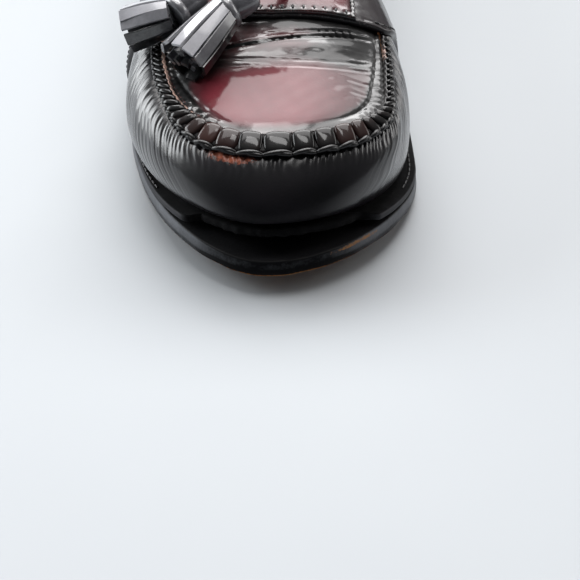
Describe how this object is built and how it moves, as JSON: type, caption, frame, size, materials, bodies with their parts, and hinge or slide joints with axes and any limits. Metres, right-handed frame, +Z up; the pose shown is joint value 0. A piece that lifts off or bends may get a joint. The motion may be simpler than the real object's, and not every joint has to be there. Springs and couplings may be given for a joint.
{
  "type": "tassel loafer",
  "caption": "Leather tassel loafer, right shoe: moccasin toe with gathered apron seam, saddle across the vamp, knotted lace with tassels, welted leather sole and stacked heel.",
  "frame": {"origin": "middle of the underside of the box round the shoe without its free lace ends, on the floor", "axes": "toe towards -Y, heel towards +Y, inner side of this right shoe towards +X, +Z up"},
  "size_m": [0.1053, 0.3008, 0.0976],
  "materials": {
    "outsole": "satin, dyed black at the edge",
    "welt": "satin",
    "heel": "satin",
    "topLift": "matte",
    "lining": "matte",
    "upper": "polished",
    "plug": "high polish, darkened towards the seam",
    "seam": "polished",
    "saddle": "polished",
    "tab": "high polish",
    "tassel": "polished",
    "lace": "polished"
  },
  "bodies": {
    "root": {"outsole": "outsole", "welt": "welt", "heel_stack": "heel", "top_lift": "topLift", "insole": "lining", "upper": "upper", "plug": "plug", "tongue": "plug", "apron_seam": "seam", "saddle": "saddle", "saddle_tab": "tab", "backstay": "saddle", "collar_band_outer": "saddle", "collar_band_inner": "saddle", "lace_bar_outer": "lace", "lace_bar_inner": "lace", "lace_knot": "lace", "lace_end_near": "lace", "lace_end_outer": "lace", "tassel_near": "tassel", "tassel_outer": "tassel"}
  },
  "joints": []
}
